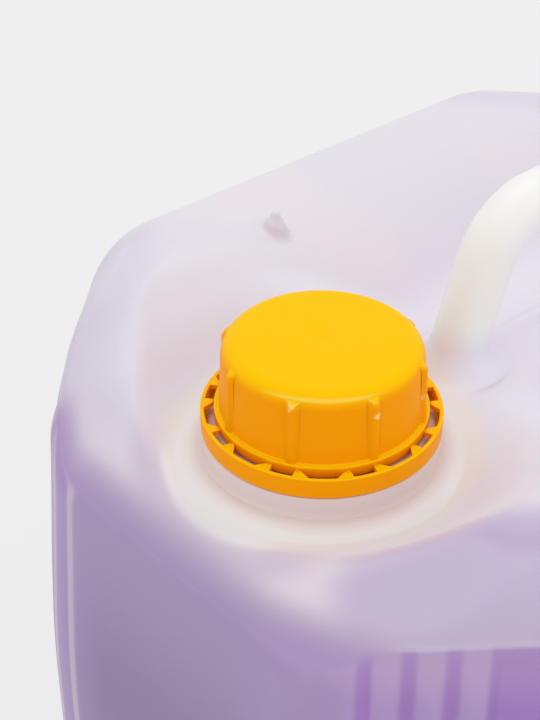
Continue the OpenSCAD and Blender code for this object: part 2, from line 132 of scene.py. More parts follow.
class CapSizes(bpy.types.PropertyGroup):
    """Sizes of the screw cap and the tamper band."""

    cap_d: length("Cap diameter", 48, "Diameter of the skirt")
    cap_h: length("Cap height", 20.6)
    cap_top_t: length("Top thickness", 2)
    cap_edge_r: length("Edge radius", 4.4, "Radius of the rounded edge of the top")
    cap_draft: angle("Draft", 1.6, "Draft of the skirt")
    cap_top_z: length("Cap top", 256.8, "Height of the cap's top over the floor")
    cap_bore_d: length("Cap bore", 43.8, "Inner diameter over the cap's threads")
    flange_d: length("Flange diameter", 50.4)
    flange_h: length("Flange height", 2.8)
    grip_count: number("Grip ribs", 8, "Number of grip ribs")
    grip_w: length("Grip width", 2)
    grip_out: length("Grip height", 0.9, "How far a grip rib stands out")
    grip_turn: angle("First grip rib", 30.5, "Turn of the first grip rib from the far end")
    thread_pitch: length("Thread pitch", 4, "Lift of the thread for each turn")
    band_d: length("Band diameter", 56.8, "Outer diameter of the tamper band")
    band_h: length("Band height", 5)
    band_wall: length("Band wall", 1)
    tooth_pairs: number("Tooth pairs", 9, "Pairs of teeth inside the band's top edge")
    tooth_t: length("Tooth thickness", 1.2)
    tooth_turn: angle("First tooth pair", 47.5, "Turn of the first pair of teeth from the far end")
    tooth_window: angle("Narrow window", 6.2, "Half angle of the narrow window in a pair")
    tooth_root: angle("Tooth root", 7.8, "Angle that a tooth spans at the band")
    tooth_tip: angle("Tooth tip", 3, "Angle that a tooth spans at its tip")


class JugColours(bpy.types.PropertyGroup):
    """Colours of the jug, the softener, the cap and the stage."""

    shell_high: colour("High shell", "#dfdae3", "Empty shell, far above the softener")
    shell_low: colour("Low shell", "#dbd3e0", "Empty shell, close above the softener")
    # Also painted shade, in the crease round the dome and on the steep shoulders
    shell_level_and_shade: colour("Shell at the level", "#c6b9cd", "Shell just above the softener")
    # Painted cool tint that offsets the cap's orange bounce light
    bowl_bounce_offset: colour("Bowl", "#e4e5f2", "Shell of the bowl round the neck")
    collar: colour("Collar", "#e4d0cd", "Collar under the tamper band")
    # Painted shade of the corners' shoulders on the side away from the light
    corner_shade: colour("Corners", "#c6bad4", "Shell of the corners' shoulders")
    shell_blush: colour("Blush", "#ecdee2", "Faint pink patches of the shell")
    dome: colour("Dome", "#e8e5e2", "Thick plastic of the dome and the neck")
    handle: colour("Handle", "#f2f1ef", "Hollow handle")
    # Painted cool tint that offsets the cap's orange bounce light
    handle_bounce_offset: colour("Handle's foot", "#eafcff", "Foot of the handle beside the cap")
    # Painted light that lifts the handle's shadow in the valley
    valley: colour("Valley", "#e9e3ee", "Shell of the valley under the handle")
    # Also painted shade on the corners' crests
    lilac_soft: colour("Softener by the wall", "#a794bb", "Softener seen through the end face")
    lilac_deep: colour("Deep softener", "#8b76a3", "Softener seen lower down")
    lilac_rib: colour("Ribs", "#b095c8", "Softener seen through a rib")
    # The softener with painted shade, in the grooves and the strip between the beads
    shaded_lilac: colour("Grooves", "#a47cc2", "Softener seen through a groove between ribs")
    lilac_skim: colour("Skim", "#c3a8cb", "Softener close under its surface")
    meniscus: colour("Meniscus", "#d6cbe0", "Light line at the softener's surface")
    # Painted highlight of the beads down the upright edges
    bead: colour("Beads", "#d3c3d8", "Beads down the upright edges")
    amber: colour("Cap", "#ffc400", "Cap and band")
    # Painted shade and glow of the cap's and band's steep faces
    amber_shaded: colour("Cap's sides", "#ffa000", "Steep faces of the cap and band")
    # Painted highlight on the front of the top's edge
    amber_highlight: colour("Cap's edge", "#ffd95a", "Pale streak on the edge of the cap's top")
    scuff: colour("Scuffs", "#ffe3a0", "Pale scuffs on the cap")
    foam: colour("Sealing disc", "#f2f1ec", "Foam of the sealing disc")
    softener: colour("Softener", "#a58cba", "The softener itself")
    backdrop: colour("Backdrop", "#efefef", "Floor and background")


# ---- shape of the jug, from the same values as its solids ----

DOME_FALL, DOME_EDGE, DOME_SIDE_H = 1.2 * MM, 1.5 * MM, 24 * MM
BOWL_SLOPE, BOWL_RIM = 1.05, 4 * MM
VALLEY_FLAT, VALLEY_SIDE = 12 * MM, 68 * MM
CHANGE_START, CHANGE_L = 2 * MM, 42 * MM
BOWL_BLEND, RIM_BLEND, APRON_BLEND = 7 * MM, 5 * MM, 6 * MM
FOOT_BLEND, SHOULDER_BLEND = 2.5 * MM, 4 * MM
SHOULDER_SHARE, BOWL_SHARE = 0.5, 0.45
EDGE_DROP, EDGE_BLEND, EDGE_RANGE = 7.5 * MM, 12 * MM, 25 * MM


def ease(t):
    t = np.clip(t, 0, 1)
    return t * t * (3 - 2 * t)


def mix(a, b, t):
    return a + (b - a) * t


def soft_min(a, b, k):
    h = np.maximum(k - np.abs(a - b), 0) / k
    return np.minimum(a, b) - h * h * k / 4


def soft_max(a, b, k):
    return -soft_min(-a, -b, k)


class Form:
    """Heights and places that follow from the sizes."""

    def __init__(self, s):
        self.s = s
        self.neck_x = s.neck_inset - s.body_l / 2
        self.plateau_z = s.wall_h + s.shoulder_h
        self.valley_z = self.plateau_z - s.valley_d
        self.dome_z = self.valley_z - s.dome_drop
        self.bowl_z = self.plateau_z - s.bowl_d
        self.groove_z = s.wall_h + s.groove_h
        self.dome_r = s.dome_d / 2
        self.foot_r = s.dome_foot_d / 2
        self.neck_top_z = self.dome_z + s.neck_h
        self.collar_z = self.dome_z + s.collar_h
        self.collar_r = s.collar_d / 2
        self.fill_z = s.wall_h + s.fill_h

    def swell(self, z):
        """How far the wall stands out at a height."""
        t = (self.s.wall_h - z) / self.s.swell_h
        return self.s.swell_out * soft_min(soft_max(t, 0 * t, 0.15), 1 + 0 * t, 0.3)

    def rib_share(self, z):
        """1 where the ribs are full, fading to 0 at their tops and feet."""
        top = self.s.wall_h + self.s.rib_rise
        return ease((top - z) / RIB_FADE) * ease((z - self.s.rib_lift) / RIB_FADE)

    def deck(self, x, y):
        """Height of the deck, without the shoulders' rounding."""
        s = self.s
        r = np.hypot(x - self.neck_x, y)
        bowl = soft_max(self.bowl_z, self.plateau_z + (r - s.bowl_r) * BOWL_SLOPE, BOWL_BLEND)
        valley = self.valley_z + s.valley_d * ease((np.abs(y) - VALLEY_FLAT) / VALLEY_SIDE)
        dish = mix(bowl, valley, ease((x - self.neck_x - CHANGE_START) / CHANGE_L))
        apron = self.groove_z + (x - self.neck_x + self.foot_r) * math.tan(s.apron_slope)
        cut = soft_min(soft_min(self.plateau_z, dish, RIM_BLEND), apron, APRON_BLEND)
        side = np.maximum(0, r - self.dome_r + DOME_EDGE) / (self.foot_r - self.dome_r + DOME_EDGE)
        dome = (
            self.dome_z
            - DOME_FALL * ease((r - self.collar_r) / (self.dome_r - self.collar_r))
            - DOME_SIDE_H * side**2
        )
        return soft_max(cut, dome, FOOT_BLEND)


ARC_STEPS = 10
RUN_STEPS = (66, 44, 66, 34, 66, 44, 66, 34)
RIB_FADE = 14 * MM
RIB_SOFT = 0.5 * MM
# The far corner faces are narrower and have fewer ribs
RIB_FEWER = 2


def outline(s):
    """Points of the plan, their outward directions, and the ribs' height at each."""
    fx, sy = s.body_l / 2, s.body_w / 2
    corners = [
        (fx, sy - s.far_cut), (fx - s.far_cut, sy), (s.near_cut - fx, sy), (-fx, sy - s.near_cut),
        (-fx, s.near_cut - sy), (s.near_cut - fx, -sy), (fx - s.far_cut, -sy), (fx, s.far_cut - sy),
    ]
    turn = math.pi / 4
    arcs = []
    for k, corner in enumerate(corners):
        middle = (k + 0.5) * turn
        centre = np.array(corner) - s.edge_r / math.cos(turn / 2) * np.array(
            [math.cos(middle), math.sin(middle)]
        )
        a = k * turn + np.linspace(0, turn, ARC_STEPS + 1)
        way = np.stack([np.cos(a), np.sin(a)], 1)
        arcs.append((centre + s.edge_r * way, way))
    bar_r = (s.rib_w**2 / 4 + s.rib_out**2) / (2 * s.rib_out)
    places, ways, ribs = [], [], []
    for k in range(8):
        (here, way), following = arcs[k], arcs[(k + 1) % 8][0]
        t = np.arange(1, RUN_STEPS[k])[:, None] / RUN_STEPS[k]
        run = mix(here[-1], following[0], t)
        places += [here, run]
        ways += [way, np.repeat(way[-1:], len(run), 0)]
        along = (t[:, 0] - 0.5) * np.linalg.norm(following[0] - here[-1])
        count = s.rib_count if k in (2, 4) else s.rib_count - RIB_FEWER
        half = (count - 1) / 2
        nearest = np.clip(np.round(along / s.rib_pitch + half), 0, count - 1) - half
        off = along - nearest * s.rib_pitch
        bar = s.rib_out - bar_r + np.sqrt(np.maximum(bar_r**2 - off**2, 0))
        rib = soft_max(bar, np.zeros_like(bar), RIB_SOFT)
        plain = (along > 0) & (along < s.rib_pitch) if k in (2, 4) else along < -math.inf
        ribs += [np.zeros(len(here)), np.where(plain, rib[0], rib) if k % 2 == 0 else rib * 0]
    return np.concatenate(places), np.concatenate(ways), np.concatenate(ribs)


def shell_rings(form):
    """Rings of the shell, from under the base up the walls and in to the neck."""
    s = form.s
    plan, way, ribs = outline(s)
    neck = np.array([form.neck_x, 0.0])
    room = np.linalg.norm(plan - neck, axis=1) - form.foot_r
    rings = []

    def flat(points, z):
        rings.append(np.column_stack([points, np.full(len(points), z)]))

    stand = s.base_r + s.stand_w - s.swell_out
    for share in (0.1, 0.5, 0.9):
        flat((plan - way * (stand + s.hollow_run)) * share, s.base_hollow)
    flat(plan - way * (stand + s.hollow_run), s.base_hollow)
    flat(plan - way * stand, 0.0)
    for a in np.radians(np.arange(0, 91, 10)):
        out = s.swell_out - s.base_r * (1 - math.sin(a))
        flat(plan + way * out, s.base_r * (1 - math.cos(a)))

    squeeze = np.minimum(1, SHOULDER_SHARE * room / s.shoulder_w)[:, None]
    inner = plan - way * s.shoulder_w
    end = mix(plan, inner, squeeze)
    low = 1 - ease((form.deck(end[:, 0], end[:, 1]) - form.groove_z) / EDGE_RANGE)
    start_z = s.wall_h - EDGE_DROP * low

    def standing_out(p, z):
        return p + way * (form.swell(z) + ribs * form.rib_share(z))[:, None]

    heights = np.concatenate([
        s.rib_lift + RIB_FADE * np.linspace(0, 1, 8),
        np.linspace(s.rib_lift + RIB_FADE, s.wall_h, 32)[1:-1],
    ])
    for h in heights:
        # The rings end level with the shoulders' own start, which dips where the deck is low
        z = h + (start_z - 2 * MM - s.wall_h) * ease(h / s.wall_h)
        rings.append(np.column_stack([standing_out(plan, z), z]))
    for a in np.radians(np.concatenate([np.arange(0, 60, 2.5), np.arange(60, 91, 2.5)])):
        p = mix(plan, inner, (1 - math.cos(a)) * squeeze)
        arch = mix(start_z, form.plateau_z, math.sin(a))
        z = soft_min(form.deck(p[:, 0], p[:, 1]), arch, SHOULDER_BLEND + EDGE_BLEND * low)
        p = standing_out(p, z)
        z = soft_min(form.deck(p[:, 0], p[:, 1]), arch, SHOULDER_BLEND + EDGE_BLEND * low)
        rings.append(np.column_stack([p, z]))
    full = rings[-1][:, :2]
    spoke = (full - neck) / np.linalg.norm(full - neck, axis=1)[:, None]
    rim = s.bowl_r + BOWL_RIM
    fit = np.minimum(1, BOWL_SHARE * room / (rim - form.foot_r))[:, None]

    def on_deck(p, t=1.0):
        deck = form.deck(p[:, 0], p[:, 1])
        edge = soft_min(deck, form.plateau_z, SHOULDER_BLEND + EDGE_BLEND * low)
        rings.append(np.column_stack([p, mix(edge, deck, ease(t))]))

    start = neck + spoke * (form.foot_r + (rim - form.foot_r) * fit)
    for t in np.linspace(0, 1, 18)[1:-1]:
        on_deck(mix(full, start, t), 1.6 * t)
    for r in np.linspace(rim, form.foot_r, 22):
        on_deck(neck + spoke * (form.foot_r + (r - form.foot_r) * fit))
    for r in np.linspace(form.foot_r, form.collar_r - 0.5 * MM, 26)[1:]:
        on_deck(neck + spoke * r)
    return rings


def skin(name, rings, closed=True, cap_start=False, cap_end=False):
    """A mesh of quads over the rings, with normals outwards, and a fan over an end."""
    n = len(rings[0])
    points = [tuple(p) for ring in rings for p in ring]
    faces = []
    for k in range(len(rings) - 1):
        for j in range(n if closed else n - 1):
            a, b = k * n + j, k * n + (j + 1) % n
            faces.append((a, b, b + n, a + n))
    for wanted, ring, first, order in (
        (cap_start, rings[0], 0, -1), (cap_end, rings[-1], (len(rings) - 1) * n, 1)
    ):
        if wanted:
            points.append(tuple(np.mean(ring, axis=0)))
            tip = len(points) - 1
            for j in range(n):
                pair = (first + j, first + (j + 1) % n)
                faces.append((tip,) + pair[::order])
    mesh = bpy.data.meshes.new(name)
    mesh.from_pydata(points, [], faces)
    mesh.shade_smooth()
    return mesh


def turned(profile, centre_x, sides, wave=None):
    """Rings turned about the neck's axis from (radius, height) pairs; wave adds to a radius."""
    a = np.arange(sides) * 2 * math.pi / sides
    rings = []
    for r, z in profile:
        radius = r + (wave(a, z) if wave else 0)
        rings.append(np.column_stack([
            centre_x + radius * np.cos(a), radius * np.sin(a), np.full(sides, z)
        ]))
    return rings


def rounded(points, radius, steps=5):
    """An open profile with each inner corner rounded by the radius, or less where it is short."""
    done = [np.array(points[0])]
    for before, here, after in zip(points, points[1:], points[2:]):
        before, here, after = map(np.array, (before, here, after))
        room = min(np.linalg.norm(here - before), np.linalg.norm(after - here)) * 0.45
        cut = min(radius, room)
        start = here + (before - here) / np.linalg.norm(before - here) * cut
        end = here + (after - here) / np.linalg.norm(after - here) * cut
        for t in np.linspace(0, 1, steps):
            done.append((1 - t) ** 2 * start + 2 * t * (1 - t) * here + t * t * end)
    done.append(np.array(points[-1]))
    return done


def foot_rings(form, base, way, side, radius, flare, sides, steps=9):
    """Rings that flare a round leg into the deck, and where the leg's own rings begin."""
    up, front = np.array(way), np.array(side)
    across = np.cross(up, front)
    a = np.arange(sides) * 2 * math.pi / sides
    spread = np.cos(a)[:, None] * front + np.sin(a)[:, None] * across
    rings, h = [], np.zeros(sides)
    for turn in np.linspace(0, math.pi / 2, steps):
        reach = radius + flare * (1 - math.sin(turn))
        lift = flare * (1 - math.cos(turn)) - (0.1 * MM if turn == 0 else 0)
        for _ in range(20):
            p = base + h[:, None] * up + reach * spread
            h = h + (lift - (p[:, 2] - form.deck(p[:, 0], p[:, 1]))) / up[2]
        rings.append(base + h[:, None] * up + reach * spread)
    return rings, h, spread


def handle_rings(form, sides=56, bend_steps=16):
    """Rings of the handle, from its front foot over to its rear foot."""
    s = form.s
    lean = s.handle_lean
    rise = s.handle_h - s.handle_bend_r * (1 - math.sin(lean))
    front_x = form.neck_x + s.handle_inset
    rear_x = front_x + s.handle_l
    bar_z = form.valley_z + s.handle_h
    bend_x = front_x + rise * math.tan(lean) + s.handle_bend_r * math.cos(lean)
    radius = s.handle_d / 2
    halves = []
    for foot_x, sign in ((front_x, 1), (rear_x, -1)):
        way = np.array([sign * math.sin(lean), 0, math.cos(lean)])
        side = np.array([math.cos(lean), 0, -sign * math.sin(lean)])
        base = np.array([foot_x, 0, form.valley_z])
        rings, h, spread = foot_rings(form, base, way, side, radius, s.foot_flare_r, sides)
        for t in np.linspace(0, 1, 9)[1:]:
            along = mix(h, rise / math.cos(lean), t)
            rings.append(base + along[:, None] * way + radius * spread)
        for i in range(1, bend_steps + 1):
            a = lean + (math.pi / 2 - lean) * i / bend_steps
            centre_x = bend_x - s.handle_bend_r * math.cos(a)
            x = centre_x if sign > 0 else front_x + rear_x - centre_x
            middle = np.array([x, 0, bar_z - s.handle_bend_r * (1 - math.sin(a))])
            way = np.array([sign * math.sin(a), 0, math.cos(a)])
            side = np.array([math.cos(a), 0, -sign * math.sin(a)])
            turn = np.arange(sides) * 2 * math.pi / sides
            spread = np.cos(turn)[:, None] * side + np.sin(turn)[:, None] * np.cross(way, side)
            rings.append(middle + radius * spread)
        halves.append(rings)
    # The rear half turns the other way round its path, so its rings take the front's order
    order = (sides // 2 - np.arange(sides)) % sides
    rear = [ring[order] for ring in halves[1][::-1]]
    gap = [mix(halves[0][-1], rear[0], t) for t in np.linspace(0, 1, 12)[1:-1]]
    return halves[0] + gap + rear


def ridge_rings(form, steps=40, across=15):
    """Rows of the parting ridge on the valley floor, between the handle's feet."""
    s = form.s
    front_x = form.neck_x + s.handle_inset
    y = np.linspace(-1, 1, across) * s.ridge_w
    bump = s.ridge_h * 0.8 * (0.5 + 0.5 * np.cos(y / y[-1] * math.pi))
    rows = []
    for x in np.linspace(front_x, front_x + s.handle_l, steps):
        deck = form.deck(np.full(across, x), y)
        rows.append(np.column_stack([np.full(across, x), y, deck + bump - 0.1 * MM]))
    return rows[::-1]


def nub_rings(form, sides=32):
    s = form.s
    base = np.array([form.neck_x + 39 * MM, s.bowl_r, 0.0])
    base[2] = form.deck(base[0], base[1])
    rings, h, spread = foot_rings(
        form, base, (0, 0, 1), (1, 0, 0), s.nub_d / 2, 2.5 * MM, sides, steps=6
    )
    tip_r = s.nub_d * 0.23
    for t in (0.25, 0.5, 0.75, 1):
        rings.append(base + mix(h, s.nub_h - tip_r, t)[:, None] * [0, 0, 1]
                     + mix(s.nub_d / 2, tip_r, t) * spread)
    for a in np.radians((25, 50, 75)):
        middle = base + np.array([0, 0, s.nub_h - tip_r + tip_r * math.sin(a)])
        rings.append(middle + tip_r * math.cos(a) * spread)
    return rings


def thread_wave(pitch, depth, low, high, fade=1.5 * MM):
    """A right-handed thread as a function of angle and height that adds to a radius."""

    def wave(a, z):
        phase = (z / pitch - a / (2 * math.pi)) % 1
        crest = ease((0.34 - np.abs(phase - 0.5)) / 0.16)
        return depth * crest * ease((z - low) / fade) * ease((high - z) / fade)

    return wave


THREAD_DEPTH = 1.0 * MM
NECK_SIDES = 112


def neck_rings(form, cap):
    """Rings of the neck: fillet, collar, shank, bead, thread, lip and bore."""
    s = form.s
    thread_r, bead_r = s.neck_d / 2, s.bead_d / 2
    shank_r = thread_r + 2 * MM
    foot_z = form.dome_z - 1.1 * MM
    bead_top = cap.cap_top_z - cap.cap_h - 0.6 * MM
    fillet = 3 * MM
    profile = [
        (form.collar_r + fillet * (1 - math.sin(a)), foot_z + fillet * (1 - math.cos(a)))
        for a in np.radians(np.linspace(0, 90, 9))
    ]
    profile += rounded(
        [
            profile[-1], (form.collar_r, form.collar_z), (shank_r, form.collar_z),
            (shank_r, bead_top - 1.4 * MM), (bead_r, bead_top - 1.1 * MM),
            (bead_r, bead_top - 0.9 * MM), (bead_r - 1.4 * MM, bead_top),
            (thread_r - THREAD_DEPTH, bead_top), (thread_r - THREAD_DEPTH, bead_top + 1 * MM),
        ],
        0.6 * MM,
    )[1:]
    low, high = bead_top + 1 * MM, form.neck_top_z - 1.2 * MM
    root_r = thread_r - THREAD_DEPTH
    profile += [(root_r, z) for z in np.linspace(low, high, 70)[1:]]
    profile += rounded(
        [(root_r, high), (root_r, form.neck_top_z), (s.neck_bore / 2, form.neck_top_z),
         (s.neck_bore / 2, form.dome_z - 4 * MM), (s.neck_bore / 2 + 6 * MM, form.dome_z - 6 * MM)],
        0.7 * MM,
    )[1:]
    wave = thread_wave(cap.thread_pitch, THREAD_DEPTH, low, high)
    rings = []
    lip = len(profile) - 1
    for i, (r, z) in enumerate(profile):
        outside = low <= z <= high and r > s.neck_bore / 2 + 0.5 * MM and i < lip
        rings += turned([(r, z)], form.neck_x, NECK_SIDES, wave if outside else None)
    return rings


def cap_rings(form, cap):
    """Rings of the cap: foot, flange, skirt, rounded edge, top, and back down its bore."""
    foot = cap.cap_top_z - cap.cap_h
    cap_r, flange_r, bore_r = cap.cap_d / 2, cap.flange_d / 2, cap.cap_bore_d / 2
    top_r = cap_r - cap.cap_h * math.tan(cap.cap_draft)
    ledge = foot + cap.flange_h
    edge_z = cap.cap_top_z - cap.cap_edge_r
    outside = rounded(
        [(bore_r, foot), (flange_r, foot), (flange_r, ledge), (cap_r, ledge), (top_r, edge_z)],
        0.5 * MM,
    )
    edge = [
        (top_r - cap.cap_edge_r * (1 - math.cos(a)), edge_z + cap.cap_edge_r * math.sin(a))
        for a in np.radians(np.linspace(0, 90, 14))
    ]
    dimple_r, dimple = 3 * MM, 0.25 * MM
    top = [(r, cap.cap_top_z) for r in np.linspace(edge[-1][0], dimple_r, 8)[1:-1]]
    top += [
        (r, cap.cap_top_z - dimple * (1 - ease(r / dimple_r)))
        for r in np.linspace(dimple_r, 0.15 * MM, 8)
    ]
    rings = turned(outside[1:] + edge[1:] + top, form.neck_x, 144)
    roof = cap.cap_top_z - cap.cap_top_t
    depth = 0.5 * MM
    wave = thread_wave(cap.thread_pitch, -depth, foot + 1 * MM, roof - 2 * MM)
    inner = [(0.15 * MM, roof), (bore_r + depth - 1 * MM, roof), (bore_r + depth, roof - 1 * MM)]
    inner += [(bore_r + depth, z) for z in np.linspace(roof - 1.5 * MM, foot + 0.6 * MM, 60)]
    inside = turned(inner[:3], form.neck_x, 144) + turned(inner[3:], form.neck_x, 144, wave)
    return rings, inside + turned([outside[0], outside[1]], form.neck_x, 144)


def band_rings(form, cap):
    foot = form.collar_z + 0.3 * MM
    top = foot + cap.band_h
    band_r = cap.band_d / 2
    inner_r = band_r - cap.band_wall
    hook_r = form.s.neck_d / 2 + 2.3 * MM
    loop = [
        (hook_r, foot + 0.2 * MM), (hook_r, foot), (band_r, foot), (band_r, top), (inner_r, top),
        (inner_r, foot + 1 * MM), (hook_r, foot + 0.5 * MM), (hook_r, foot + 0.2 * MM),
    ]
    return turned(rounded(loop, 0.35 * MM), form.neck_x, 144)


# ---- patterns that Geometry Nodes repeats round the neck's axis ----


def grip_pattern(cap):
    """One grip rib as a skin that rises smoothly out of the skirt, about the axis at the origin."""
    foot = cap.cap_top_z - cap.cap_h + cap.flange_h
    edge_z = cap.cap_top_z - cap.cap_edge_r
    top_z = edge_z + cap.cap_edge_r * 0.55
    across = np.linspace(-1, 1, 17)
    width = cap.grip_w * 0.85
    rows = []
    straight, curved = np.linspace(foot - 0.3 * MM, edge_z, 14), np.linspace(edge_z, top_z, 12)
    for z in np.concatenate([straight, curved[1:]]):
        skirt = cap.cap_d / 2 - (z - foot + cap.flange_h) * math.tan(cap.cap_draft)
        over = max(0.0, z - edge_z)
        skirt -= cap.cap_edge_r - math.sqrt(max(cap.cap_edge_r**2 - over**2, 0))
        fade = math.sqrt(max(0.0, 1 - (over / (top_z - edge_z)) ** 2))
        bump = cap.grip_out * ease((1 - np.abs(across)) / 0.75) * fade
        r = skirt + bump - 0.06 * MM
        rows.append(np.column_stack([r, across * width, np.full(len(across), z)]))
    return skin("grip_pattern", rows, closed=False)


def prism(name, polygons, z0, z1):
    """Upright prisms over polygons that run counter-clockwise."""
    points, faces = [], []
    for polygon in polygons:
        first, n = len(points), len(polygon)
        points += [(x, y, z0) for x, y in polygon] + [(x, y, z1) for x, y in polygon]
        faces.append(tuple(range(first + n - 1, first - 1, -1)))
        faces.append(tuple(range(first + n, first + 2 * n)))
        for i in range(n):
            a, b = first + i, first + (i + 1) % n
            faces.append((a, b, b + n, a + n))
    mesh = bpy.data.meshes.new(name)
    mesh.from_pydata(points, [], faces)
    return mesh


def tooth_pattern(form, cap):
    """A pair of teeth inside the band's top edge, with the thin bridges at their tips."""
    top = form.collar_z + 0.3 * MM + cap.band_h
    tip_r = cap.flange_d / 2 + 0.3 * MM
    root_r = cap.band_d / 2 - cap.band_wall / 2
    w = cap.tooth_window
    polygons = []
    for side in (1, -1):
        tooth = [
            (tip_r, w), (root_r, w - 0.01), (root_r, w + cap.tooth_root), (tip_r, w + cap.tooth_tip)
        ]
        bridge = [
            (tip_r - 0.28 * MM, w + 0.008), (tip_r + 0.3 * MM, w + 0.004),
            (tip_r + 0.3 * MM, w + 0.034), (tip_r - 0.28 * MM, w + 0.030),
        ]
        for polar in (tooth, bridge):
            polygon = [(r * math.cos(side * a), r * math.sin(side * a)) for r, a in polar]
            polygons.append(polygon if side > 0 else polygon[::-1])
    return prism("tooth_pattern", polygons, top - cap.tooth_t, top - 0.02 * MM)


def copies_tree():
    """A Geometry Nodes group that sets copies of a pattern in a ring about an upright axis."""
    tree = bpy.data.node_groups.get("Ring of copies")
    if tree:
        return tree
    tree = bpy.data.node_groups.new("Ring of copies", "GeometryNodeTree")
    face = tree.interface
    for name, kind in (("Pattern", "Geometry"), ("Count", "Int"), ("First angle", "Float"),
                       ("Axis", "Vector"), ("Material", "Material")):
        face.new_socket(name, in_out="INPUT", socket_type="NodeSocket" + kind)
    face.new_socket("Ring", in_out="OUTPUT", socket_type="NodeSocketGeometry")
    given = tree.nodes.new("NodeGroupInput").outputs
    points = node(tree, "GeometryNodePoints", {"Count": given["Count"], "Position": given["Axis"]})
    index = node(tree, "GeometryNodeInputIndex", {})
    step = calc(tree, "DIVIDE", 2 * math.pi, given["Count"])
    around = calc(tree, "MULTIPLY_ADD", index, step, given["First angle"])
    rotation = node(tree, "ShaderNodeCombineXYZ", {"Z": around})
    rings = node(
        tree, "GeometryNodeInstanceOnPoints",
        {"Points": points, "Instance": given["Pattern"], "Rotation": rotation},
    )
    real = node(tree, "GeometryNodeRealizeInstances", {"Geometry": rings})
    painted = node(
        tree, "GeometryNodeSetMaterial", {"Geometry": real, "Material": given["Material"]}
    )
    tree.links.new(painted, tree.nodes.new("NodeGroupOutput").inputs["Ring"])
    return tree


def ring_of_copies(name, pattern, count, first_angle, axis_x, material):
    """A plain mesh of the pattern repeated round the axis."""
    maker = bpy.data.objects.new(name, pattern)
    bpy.context.scene.collection.objects.link(maker)
    modifier = maker.modifiers.new("Ring", "NODES")
    tree = copies_tree()
    modifier.node_group = tree
    values = {
        "Count": count, "First angle": first_angle, "Axis": (axis_x, 0.0, 0.0),
        "Material": material,
    }
    for item in tree.interface.items_tree:
        if item.in_out == "INPUT" and item.name in values:
            modifier[item.identifier] = values[item.name]
    seen = maker.evaluated_get(bpy.context.evaluated_depsgraph_get())
    mesh = bpy.data.meshes.new_from_object(seen)
    bpy.data.objects.remove(maker)
    return mesh


# ---- materials ----


def node(tree, kind, inputs, output=0, **settings):
    """Adds a node, sets or links its inputs, and returns one output."""
    made = tree.nodes.new(kind)
    for key, value in settings.items():
        setattr(made, key, value)
    for key, value in inputs.items():
        if isinstance(value, bpy.types.NodeSocket):
            tree.links.new(value, made.inputs[key])
        else:
            made.inputs[key].default_value = value
    return made.outputs[output]


def calc(tree, operation, a, b=0.0, c=0.0, clamp=False):
    return node(tree, "ShaderNodeMath", {0: a, 1: b, 2: c}, operation=operation, use_clamp=clamp)


def size_of(tree, value):
    return calc(tree, "ABSOLUTE", value)


def step(tree, value, low, high):
    """Rises smoothly from 0 at low to 1 at high; high may be the smaller."""
    return node(
        tree, "ShaderNodeMapRange", {"Value": value, "From Min": low, "From Max": high},
        interpolation_type="SMOOTHSTEP",
    )


def blend(tree, factor, a, b):
    return node(tree, "ShaderNodeMix", {0: factor, 6: a, 7: b}, output=2, data_type="RGBA")


def new_material(name):
    material = bpy.data.materials.new(name)
    material.use_nodes = True
    tree = material.node_tree
    tree.nodes.clear()
    out = tree.nodes.new("ShaderNodeOutputMaterial")
    return material, tree, out.inputs["Surface"]


def place(tree):
    """X, Y and Z of the object's own coordinates, in millimetres, and the coordinates."""
    own = node(tree, "ShaderNodeTexCoord", {}, output="Object")
    split = tree.nodes.new("ShaderNodeSeparateXYZ")
    scaled = node(tree, "ShaderNodeVectorMath", {0: own, "Scale": 1 / MM}, operation="SCALE")
    tree.links.new(scaled, split.inputs[0])
    return split.outputs[0], split.outputs[1], split.outputs[2], scaled


def facing(tree):
    """X, Y and Z of the direction that the surface faces."""
    split = tree.nodes.new("ShaderNodeSeparateXYZ")
    tree.links.new(node(tree, "ShaderNodeTexCoord", {}, output="Normal"), split.inputs[0])
    return split.outputs[0], split.outputs[1], split.outputs[2]


def noise(tree, where, size, detail=2.0):
    """Noise whose features are about size millimetres across."""
    return node(
        tree, "ShaderNodeTexNoise", {"Vector": where, "Scale": 1 / size, "Detail": detail}
    )


def bump(tree, height, distance, strength=1.0):
    return node(
        tree, "ShaderNodeBump", {"Height": height, "Distance": distance * MM, "Strength": strength}
    )


def plastic(tree, surface, colour_in, roughness, normal, subsurface=0.0, radius=(2, 1, 1), ior=1.5):
    shader = node(
        tree, "ShaderNodeBsdfPrincipled",
        {"Base Color": colour_in, "Roughness": roughness, "IOR": ior, "Normal": normal,
         "Subsurface Weight": subsurface, "Subsurface Radius": radius, "Subsurface Scale": 1 * MM},
    )
    tree.links.new(shader, surface)


def both(tree, *shares):
    """The product of several shares."""
    result = shares[0]
    for share in shares[1:]:
        result = calc(tree, "MULTIPLY", result, share)
    return result


def inverse(tree, share):
    return calc(tree, "SUBTRACT", 1.0, share)


def around(tree, x, y, centre_x, centre_y=0.0):
    """Distance of a point of the plan from an upright axis."""
    return calc(tree, "SQRT", calc(tree, "ADD",
        calc(tree, "POWER", calc(tree, "SUBTRACT", x, centre_x), 2.0),
        calc(tree, "POWER", calc(tree, "SUBTRACT", y, centre_y), 2.0)))


